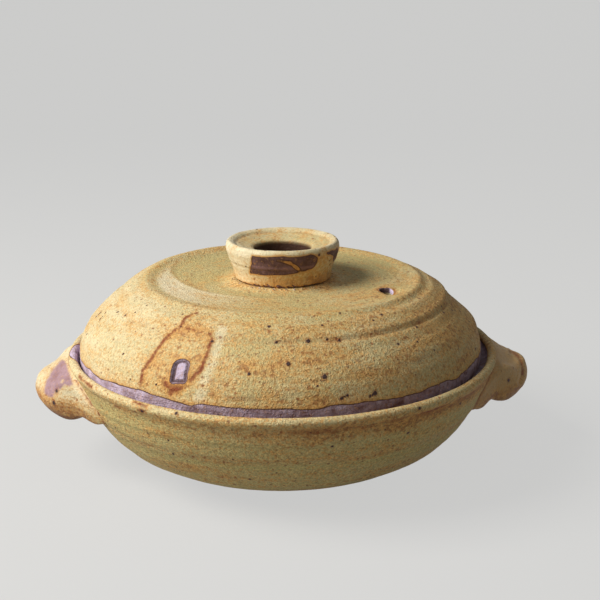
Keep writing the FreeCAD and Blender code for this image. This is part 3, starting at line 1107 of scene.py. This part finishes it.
    # the shoulder crease and two lines below it are browner at the front and right, partly a brown line and partly
    # painted shade under the steps
    brownAndShade = 0.15 + 0.5 * nearTurn(angle, -48, 40) + nearTurn(angle, -86, 15)
    crease = (brownAndShade * near(along, shoulder + 1, 2.2) + nearTurn(angle, -106, 11) * near(along, bandTop - 6, 1.6)
              + 0.5 * nearTurn(angle, -60, 24) * near(along, shoulder + 21, 1.8))
    lay(piece, along=along * mm, bare=bare, stroke=strokes, flush=np.clip(flush, 0, 1), dark=dark, pale=pale,
        moss=np.maximum(olive, top * nearTurn(angle, -85, 40) * 0.4), crease=np.clip(crease, 0, 1))
    # painted shade: a great dark spot fills the steam hole's depths
    holeShadeMiddle = vent + Vector((-1.2, 0, plateauHeight - 2.6))
    laySpots(piece, lidSpots(outline) + [(holeShadeMiddle, 4.6)])
    shapeByHand(piece)
    finishPiece(piece, "lidGlaze", lidLook, "lid", "lid_dome")


def shapeByHand(piece):
    co = places(piece)
    angle, radius, height = angles(co), radii(co), co[:, 2]
    outward = co * (1, 1, 0) / np.maximum(radius, 0.001)[:, None]
    co[:, 0] += lid["slide"] * (1 - softStep(height, 76, 98))
    fuller = grooves(height, lid["fuller"])
    for middle, reach, turn, spread, amount in lid["sides"]:
        fuller = fuller + near(height, middle, reach) * nearTurn(angle, turn, spread) * amount
    co += outward * fuller[:, None]
    high = softStep(height, 90, 103)
    for middle, reach, turn, spread, amount in lid["tops"]:
        co[:, 2] += near(radius, middle, reach) * nearTurn(angle, turn, spread) * high * amount
    # the front edge of the steam hole sinks a little
    away = np.hypot(co[:, 0] - vent.x - 2.5, co[:, 1] - vent.y + 4.5)
    co[:, 2] -= softStep(away, 9, 0) * softStep(height, 108, 113) * 2.4
    settle(piece, co)


def archDistance(co, outline):
    # distance from the upright arch in the side, negative within it
    along = sideAlong(outline, arch["height"])
    middle, upper = (np.array(pointOn(outline, arch["angle"], place)) for place in (along, along - 3))
    up = (upper - middle) / np.linalg.norm(upper - middle)
    a, lean = math.radians(arch["angle"]), math.radians(arch["lean"])
    across = np.array((-math.sin(a), math.cos(a), 0))
    away = co - middle
    right, rise, deep = away @ across, away @ up, away @ np.cross(across, up)
    x = right * math.cos(lean) + rise * math.sin(lean)
    y = rise * math.cos(lean) - right * math.sin(lean)
    half, tall, corner, flat = arch["width"] / 2, arch["tall"] / 2, arch["corner"], arch["flatness"]
    spring = tall - half * flat
    bow = np.hypot(x, np.maximum(y - spring, 0) / flat) - half
    dx, dy = np.abs(x) - half + corner, corner - tall - y
    box = np.hypot(np.maximum(dx, 0), np.maximum(dy, 0)) + np.minimum(np.maximum(dx, dy), 0) - corner
    return np.where(np.abs(deep) < 8, np.where(y > spring, bow, box), 30.0)


def refine(piece, middle, reach, cuts):
    # more faces round one place
    pick(piece)
    pickNone("FACE")
    for face in piece.data.polygons:
        face.select = (face.center / mm - middle).length < reach
    edit()
    bpy.ops.mesh.subdivide(number_cuts=cuts)
    leave()
    pickNone("FACE")


def cutVent(piece):
    # the steam hole, with its upper edge softened by the glaze
    refine(piece, vent + Vector((0, 0, lidTop)), 8, 2)
    soft = lid["ventRounding"]
    low, high, wide = lidTop - 12, lidTop + 3, ventRadius + soft
    borer = throwPiece("borer", joinRuns([
        smoothRun([(0, low), (ventRadius, low)], 2),
        smoothRun([(ventRadius, low), (ventRadius, lidTop - soft)], 1.5),
        roundRun((wide, lidTop - soft), soft, 180, 90, 0.25),
        smoothRun([(wide, lidTop), (wide, high)], 1),
        smoothRun([(wide, high), (0, high)], 2),
    ]), 48)
    settle(borer, places(borer) + vent)
    shapeWith(piece, "hole", "BOOLEAN", operation="DIFFERENCE", solver="EXACT", object=borer)
    bpy.data.objects.remove(borer)


def wipeMarks(co, outline):
    # how warm each place is, how far it is from the wiped lines, and how pale
    lines = {name: [onSide(outline, a, z) for a, z in points] for name, points in wipe.items()}
    strokes = np.min([lineDistance(co, lines[name]) - wide for name, wide in wipeWidths.items()], axis=0)
    inside = inShape(angles(co) * 2.0, co[:, 2], [(a * 2.0, z) for a, z in wipeArea])
    side = (co[:, 2] > 74) & (radii(co) > 80)
    area = softStep(np.where(side, inside, -np.abs(inside)), -1.6, 1.6)
    flush = 0.26 + 0.4 * softStep(strokes, 7, 1.5) + 0.3 * softStep(co[:, 2], 92, 80)
    flush = area * np.clip(flush, 0, 1)
    for angle, height, reach, strength in lid["blotches"]:
        away = lineDistance(co, [onSide(outline, angle, height)] * 2)
        flush = np.maximum(flush, softStep(away, reach, 0) * strength)
    pale = softStep(lineDistance(co, lines["pale"]), 5.5, 1.5) * 0.6
    return flush, strokes, pale * (1 - area)


def lidSpots(outline):
    spots = [(onSide(outline, a, z), size) for a, z, size in lid["spots"]]
    draw = random.Random(43)
    for index in range(lid["sideSpots"]):
        height = draw.uniform(80, 115)
        spots.append((onSide(outline, draw.uniform(-40, 205), height), draw.uniform(0.3, 0.95)))
    for index in range(lid["topSpots"]):
        spots.append((pointOn(outline, draw.uniform(0, 360), draw.uniform(38, 84)), draw.uniform(0.25, 0.55)))
    return spots


makeLid()


# The knob

knob = {
    "base": 30.0,
    "crestInset": 1.8,
    "crestDrop": 3.8,
    "kneeFlare": 2.3,
    "kneeHeight": 10.7,
    "foot": 4.0,
    "mouth": 17.8,
    "mouthDepth": 4.6,
    "mouthRounding": 1.6,
    "steps": 260,
    "fineStep": 0.85,
    # the unglazed places, as angles and heights, and the drip of glaze over the first
    "bare": [[(-126.0, 136.4), (-113, 136.3), (-103, 136.9), (-95, 137.2), (-88, 136.5), (-78, 136.4), (-70, 136.9),
              (-66, 137.4), (-62, 136.2), (-57.4, 134.2), (-57.8, 131.5), (-61.5, 127.6), (-70, 126.6),
              (-76, 126.8), (-80, 126.0), (-92, 125.2), (-104, 124.8), (-118, 124.4), (-134.5, 124.2),
              (-131.5, 127.6), (-128, 131)],
             [(-46, 136.4), (-38, 136.9), (-30, 136.0), (-24, 136.8), (-16, 134.0), (-19, 130.6), (-25, 128.0),
              (-30, 130.2), (-32, 133.0), (-39, 134.8), (-44, 135.0)]],
    "drip": [(-100, 135.0), (-94, 134.4), (-87.5, 133.0), (-82, 130.4), (-77.3, 127.4)],
    "dripRadius": 33.4,
    # iron spots: angle, radius, height, size
    "spots": [(-56.5, 34.9, 136.2, 0.8), (-32.1, 32.6, 127.4, 0.7)],
    "chanceSpots": 14,
}
knobLook = {
    "creaminess": 0.5,
    "clay": paint(68, 38, 27),
    "clayPale": paint(126, 94, 94),
    "ashAndSheenShare": 0.75,
    "burntLine": 0.5,
    "edgeGlow": 0.95,
    "grainContrast": 1.2,
    "bumpHeight": 0.00024,
    "freckleStrength": 0.3,
    "roughness": 0.56,
    "gloss": 0.45,
}


def knobOutline():
    d, low, high, widest = knob, knobLow.z, knobHigh.z, knobHigh.x
    mouth, base = d["mouth"], d["base"]
    crest = (widest - d["crestInset"], high)
    mouthHeight = high - d["mouthDepth"]
    throat = mouthHeight - d["mouthRounding"]
    return joinRuns([
        smoothRun([(mouth + 1.6, low), (mouth, throat)], 1.6),
        smoothRun([(mouth, throat), (mouth + 0.5, throat + 1.1), (mouth + d["mouthRounding"], mouthHeight),
                   (crest[0] - 6, high - 2.5), (crest[0] - 1.6, high - 0.4), crest, (widest - 0.5, high - 1.3),
                   (widest, high - d["crestDrop"]), (widest - 0.9, high - 8),
                   (base + d["kneeFlare"], low + d["kneeHeight"]), (base + 0.4, low + d["foot"] + 1),
                   (base, low + 1.2)], d["fineStep"]),
        smoothRun([(base, low + 1.2), (base - 0.9, low)], 0.5),
        smoothRun([(base - 0.9, low), (mouth + 1.6, low)], 3),
    ])


def makeKnob():
    d, seam = knob, knobLow.z
    outline = knobOutline()
    piece = throwPiece("knobRing", outline, d["steps"])
    co = places(piece)
    angle, along, height = angles(co), alongOutline(piece, outline), co[:, 2]
    crest = alongAt(outline, knobHigh.x - d["crestInset"], knobHigh.z)
    throat = alongAt(outline, d["mouth"], knobHigh.z - d["mouthDepth"] - d["mouthRounding"])
    outer = along > crest
    outside = softStep(along, crest + 3, crest + 7)
    dish = softStep(along, crest - 2, crest - 5)
    depth = spiral(angle, along, 4.2, 51) * (0.07 * outside + 0.10 * dish)
    depth += outside * waver(angle, 53, (2, 3, 5), 0.25)
    depth += (height < seam + 3) * waver(angle, 55, (4, 7, 12, 19), 0.18)
    bare = np.full(len(co), -6.0)
    for shape in d["bare"]:
        bare = np.maximum(bare, inShape(angle * 0.55, height, [(a * 0.55, z) for a, z in shape]))
    drip = [onTurn(a, d["dripRadius"], z) for a, z in d["drip"]]
    dripped = np.minimum(lineDistance(co, drip) - 1.3, lineDistance(co, drip[:3]) - 1.7)
    bare = np.where(outer, np.minimum(bare, dripped), -6.0)
    # the seam at the base is crumbly and bare here and there
    crumbs = nearTurn(angle, -103, 45) * 0.8 + 0.2
    rough = waver(angle + height * 3, 57, (24, 37, 52), 1.0)
    depth -= near(height, seam + 1.2, 2) * crumbs * waver(angle, 59, (37, 53, 71), 0.5) * outer
    bare = np.maximum(bare, np.where(outer, seam + 0.3 + crumbs * (0.9 + 1.8 * rough) - height, -5))
    # turning grooves: one inside the rim, one low on the side
    depth += grooves(along, [(crest - 4.6, 1.7, 0.4), (crest - 7.4, 2, -0.25)])
    depth += grooves(height, [(127.2, 1.1, 0.35), (129.0, 1.4, -0.2)]) * outer
    depth += softStep(bare, -0.5, 0.3) * 0.18
    press(piece, depth)
    cloudy(piece, (16, 0.30), (5, 0.12))
    co = places(piece)
    height = co[:, 2]
    toDrip, toUpper = lineDistance(co, drip), lineDistance(co, drip[:3])
    low = softStep(height, seam + 10, seam + 2) * (0.9 - 0.5 * nearTurn(angle, 190, 60))
    streak = near(along, crest - 6.4, 1.6) * nearTurn(angle, 108, 24)
    # on the bare patch a painted highlight along the ridge above the low groove, and paler clay at the seam; elsewhere
    # paler at the crest and, partly as painted light, on the lit left side
    ashAndSheen = outer * (near(height, 129.2, 1.6) * 0.9 + softStep(height, seam + 3, seam + 1.5))
    pale = near(along, crest, 8) * 0.8 + nearTurn(angle, 205, 75) * 0.95
    upper = np.maximum(softStep(toUpper, 3.2, 1.6), softStep(toDrip, 2.0, 1.0) * 0.8) * outer * 0.9
    # painted shade: the ring groove in the dish is browner towards the back left, where the crest's shadow falls
    ring = near(along, crest - 4.8, 1.5) * (0.25 + 0.5 * nearTurn(angle, 130, 60))
    # painted shade: the throat darkens with its depth
    lay(piece, along=along * mm, bare=bare, stroke=np.where(outer, toUpper - 1.6, 20.0),
        flush=np.maximum(np.maximum(low, streak), softStep(toDrip, 3, 1.5)),
        dark=softStep(along, throat + 1.8, throat - 1.2) * 0.97,
        pale=np.clip(np.where(bare > -0.5, ashAndSheen, pale), 0, 1),
        moss=softStep(along, crest - 2, crest - 6) * 0.4, crease=np.maximum(ring, upper))
    draw = random.Random(61)
    spots = [(onTurn(a, r, z), size) for a, r, z, size in d["spots"]]
    for index in range(d["chanceSpots"]):
        place = pointOn(outline, draw.uniform(0, 360), crest + draw.uniform(-10, 20))
        spots.append((place, draw.uniform(0.25, 0.6)))
    laySpots(piece, spots)
    finishPiece(piece, "knobGlaze", knobLook, "lid", "lid_knob")


makeKnob()


# The lugs

# half a lug, from its middle to its end: how many degrees round, how far its upper edge, its
# nose and its lower edge stand out from the wall, how high its root and both edges lie, and
# how deep the finger hollow is
lugSteps = [
    (0.0, 23.5, 30.9, 28.4, 69.6, 60.6, 42.0, 5.2),
    (4.0, 21.2, 29.5, 27.4, 69.5, 59.9, 41.6, 5.0),
    (7.5, 17.0, 27.0, 26.0, 69.2, 60.2, 40.4, 4.6),
    (10.0, 14.2, 24.4, 24.4, 68.8, 61.8, 39.0, 4.2),
    (12.2, 11.8, 21.4, 21.8, 68.4, 64.0, 38.5, 3.4),
    (14.2, 9.4, 17.8, 18.8, 67.8, 65.2, 38.6, 2.6),
    (16.0, 6.6, 13.4, 14.6, 66.8, 64.4, 40.6, 1.6),
    (17.6, 4.2, 9.6, 10.0, 65.4, 62.8, 43.8, 0.8),
    (19.4, 3.2, 7.6, 8.2, 63.2, 60.2, 43.8, 0.4),
    (21.4, 2.6, 5.8, 6.6, 60.2, 57.2, 41.6, 0.2),
    (23.4, 2.0, 4.2, 4.4, 57.0, 54.6, 41.8, 0.0),
    (25.4, 1.2, 2.2, 2.2, 53.4, 51.6, 44.4, 0.0),
    (27.2, 0.0, 0.4, 0.6, 50.0, 49.0, 44.4, 0.0),
    (28.4, -2.2, -2.2, -2.2, 48.6, 48.0, 45.4, 0.0),
]
lug = {
    "corners": 30,
    "sink": 2.6,
    "noseHeight": 51.5,
    "fullNose": 30.0,         # how far a full nose stands out
    "levels": 3,
    "chanceSpots": 12,
}
rightLug = {
    "name": "rightLug",
    "node": "right_handle",
    "angle": -1.8,
    "drop": 0.0,              # how much lower its upper edge lies
    "thinner": 2.4,           # raised lower edge
    "reach": 2.4,             # how much further its nose stands out
    "bead": 1.1,              # the line of clay along the upper edge
    "seed": 71,
    "patch": [],
    "holes": [],
    # painted shade: more flush on the shaded right lug
    "flush": 0.55,
    "spots": [(508.3, 380.0, 1.1)],
    # a groove pressed inside its edge, as it shows in the picture
    "groove": [(510.5, 351.5), (515.5, 354.0), (519.5, 357.5), (522.0, 363.0), (522.8, 369.0), (522.2, 376.0),
               (520.0, 383.0)],
    # painted shade: the right lug's glaze is browner and less creamy than the lit left lug's
    "glaze": {"body": paint(172, 134, 82), "creaminess": 0.1, "paleness": 0.2},
}
leftLug = {
    "name": "leftLug",
    "node": "left_handle",
    "angle": 180.6,
    "drop": 0.6,
    "thinner": -0.5,
    "reach": 0.3,
    "bead": 0.3,
    "seed": 79,
    # the bare patch, a yellow spot in it and the dark spots, as they show in the picture
    "patch": [(62.0, 359.5), (65.5, 361.5), (68.5, 370.0), (73.3, 384.5), (69.0, 386.5), (65.0, 384.0), (61.0, 389.0),
              (55.5, 391.5), (53.0, 396.8), (50.0, 397.5), (45.0, 393.5), (44.8, 384.0), (51.0, 372.0), (57.5, 364.5)],
    "holes": [(61.7, 382.5), (63.0, 380.5)],
    "flush": 0.0,
    "spots": [(56.7, 391.0, 1.2), (54.0, 403.0, 1.3)],
    "groove": [],
    # the left lug's glaze is paler, partly as painted light on the lit side
    "glaze": {"creaminess": 0.3, "paleness": 0.65, "speckLevel": 0.525, "speckStrength": 0.8},
}
lugLook = {
    "clay": paint(132, 94, 92),
    "clayPale": paint(174, 142, 148),
    "ashAndSheenShare": 0.25,
    "burntLine": 0.0,
    "edgeSoftness": 1.1,
    "edgeGlow": 0.35,
    "raggedness": 0.6,
    "grainContrast": 1.3,
    "bumpHeight": 0.00026,
    "mossStrength": 0.0,
    "roughness": 0.56,
    "gloss": 0.45,
}


def wallRadiusAt(height):
    heights = [9.9, 22.4, 42.7, grooveHeight, grooveHeight + 3, bowlTop - 2.8]
    reaches = [84.1, 106.1, 121.75, grooveRadius, lipRadius - 0.5, lipRadius - 0.4]
    return np.interp(height, heights, reaches)


def lugSection(side, step):
    # one upright section: along the top to the nose and back under the finger hollow
    edge, nose, lower, topRoot, edgeHeight, lowerHeight, hollow = step[1:]
    out = min(1.0, max(0.08, nose / lug["fullNose"]))
    bead = side["bead"] * out
    lowerHeight += side["thinner"] * 4 * out * (1 - out)
    edgeHeight -= side["drop"] * out
    edge, nose, lower = (reach + side["reach"] * out ** 4 for reach in (edge, nose, lower))
    noseHeight = min(lug["noseHeight"], (edgeHeight + lowerHeight) / 2)
    rootLow = lowerHeight - 2.0 * out
    top = (wallRadiusAt(topRoot) + 0.5, topRoot)
    upper = (wallRadiusAt(edgeHeight) + edge, edgeHeight + bead)
    tip = (wallRadiusAt(noseHeight) + nose, noseHeight)
    under = (wallRadiusAt(lowerHeight) + lower, lowerHeight)
    line = smoothRun([
        (wallRadiusAt(topRoot) - lug["sink"], topRoot),
        top,
        (top[0] * 0.55 + upper[0] * 0.45, top[1] * 0.55 + upper[1] * 0.45 - 1.5 * out),
        (upper[0] - 3.0 * out, upper[1] - bead * 1.2 + 0.9 * out),
        upper,
        (upper[0] * 0.45 + tip[0] * 0.55, upper[1] * 0.55 + tip[1] * 0.45),
        tip,
        (tip[0] * 0.45 + under[0] * 0.55 + 0.5 * out, tip[1] * 0.4 + under[1] * 0.6),
        (under[0] - 1.0 * out, under[1] + 0.3 * out),
        (under[0] - 4.5 * out - 0.5, under[1] + hollow * 0.45),
        ((wallRadiusAt(lowerHeight + hollow) + under[0]) / 2 - 2 * out, under[1] + hollow),
        (wallRadiusAt(rootLow) + 2.2 * out + 0.3, rootLow + 2.2 * out),
        (wallRadiusAt(rootLow) - lug["sink"], rootLow),
    ], 0.4)
    ring = np.vstack([line, smoothRun([line[-1], line[0]], 2)[1:-1], line[:1]])
    along = lengths(ring)
    return evenly(ring, along, np.linspace(0, along[-1], lug["corners"] + 1)[:-1])


def makeLug(side):
    deselect()
    corners = lug["corners"]
    bpy.ops.mesh.primitive_circle_add(vertices=corners, radius=0.01, fill_type="NOTHING", location=(0, 0, 0))
    piece = newest(side["name"])
    turns = [(-step[0], step) for step in reversed(lugSteps[1:])] + [(step[0], step) for step in lugSteps]
    for index, (turn, step) in enumerate(turns):
        if index:
            edit()
            bpy.ops.mesh.extrude_region_move()
            leave()
        first = len(piece.data.vertices) - corners
        for k, (radius, height) in enumerate(lugSection(side, step)):
            piece.data.vertices[first + k].co = onTurn(side["angle"] + turn, radius, height) * mm
    # both ends are closed
    for loop in (0, len(turns) - 1):
        pickNone("VERT")
        for k in range(corners):
            piece.data.vertices[loop * corners + k].select = True
        edit()
        bpy.ops.mesh.edge_face_add()
        leave()
    edit(action="SELECT")
    turnOutwards()
    shapeWith(piece, "smooth", "SUBSURF", levels=lug["levels"], render_levels=lug["levels"])
    cloudy(piece, (18, 0.8), (6.5, 0.25))
    if side["groove"]:
        seen, pixel, facing = inPicture(piece)
        away = pictureLine(seen, pixel, side["groove"])
        press(piece, (softStep(away, 1.5, 0) * 1.3 - near(away, 2.2, 1.4) * 0.3) * facing)
    paintLug(piece, side)
    finishPiece(piece, side["name"] + "Glaze", {**lugLook, **side["glaze"]}, "pot", side["node"])


def inPicture(piece):
    # where each place shows in the picture, in its pixels, how wide a pixel is there, and
    # whether it faces the camera
    away = places(piece) - np.array(camera["place"]) / mm
    turn = np.array(Euler((math.radians(camera["tilt"]), 0, math.radians(camera["turn"]))).to_matrix())
    turned = away @ turn
    scale, half = camera["lens"] / camera["film"] * camera["picture"], camera["picture"] / 2
    x, y = half - scale * turned[:, 0] / turned[:, 2], half + scale * turned[:, 1] / turned[:, 2]
    facing = np.einsum("ij,ij->i", read(piece, "normal"), -away) > 0
    return np.column_stack([x, y, x * 0]), np.linalg.norm(away, axis=1) / scale, facing


def pictureLine(seen, pixel, points):
    # distance from a line of picture places, on the clay
    return lineDistance(seen, [(x, y, 0) for x, y in points]) * pixel


def lugSpots(side, co, seen, facing):
    draw = random.Random(side["seed"])
    spots = []
    for x, y, size in side["spots"]:
        away = np.hypot(seen[:, 0] - x, seen[:, 1] - y) + np.where(facing, 0, 1000)
        spots.append((co[away.argmin()], size))
    # on the side turned away, each chance spot takes the nearest place, whatever the mesh's order
    hidden = co[~facing]
    lowest, highest = hidden.min(axis=0), hidden.max(axis=0)
    for index in range(lug["chanceSpots"]):
        wish = np.array([draw.uniform(start, end) for start, end in zip(lowest, highest)])
        spots.append((hidden[np.linalg.norm(hidden - wish, axis=1).argmin()], draw.uniform(0.4, 1.0)))
    return spots


def paintLug(piece, side):
    co = places(piece)
    height = co[:, 2]
    standing = radii(co) - wallRadiusAt(height)
    seen, pixel, facing = inPicture(piece)
    bare = np.full(len(co), -6.0)
    if side["patch"]:
        inside = inShape(seen[:, 0], seen[:, 1], side["patch"])
        bare = np.where(facing, inside * pixel, bare)
        bare = np.minimum(bare, pictureLine(seen, pixel, side["holes"]) - 0.5)
    groove = softStep(pictureLine(seen, pixel, side["groove"]), 1.4, 0.3) * facing if side["groove"] else 0
    # a fine crack along the seam
    crack = np.abs(standing - (1.2 + waver(angles(co) * 5, 75, (1, 2, 3), 0.5))) + 0.6
    # under the lug the low part is warmer, partly its orange glaze, and darker as painted shade; the seam with the
    # wall, the low part and the pressed groove are browner as painted shade; the upper part is paler, partly as
    # painted light
    low = softStep(height, 58, 45) * softStep(standing, 2, 9)
    lay(piece, along=height * mm, bare=bare, stroke=np.where(height < 66, crack, 20.0),
        flush=np.clip(low + near(bare, 0, 4) * 0.5 + side["flush"], 0, 1),
        dark=low * softStep(height, 47, 39) * 0.6, pale=softStep(height, 46, 56), moss=height * 0,
        crease=np.clip(softStep(standing, 1.6, 0.2) * 0.8 + low * 0.6 + groove * 0.9, 0, 1))
    laySpots(piece, lugSpots(side, co, seen, facing))


makeLug(rightLug)
makeLug(leftLug)
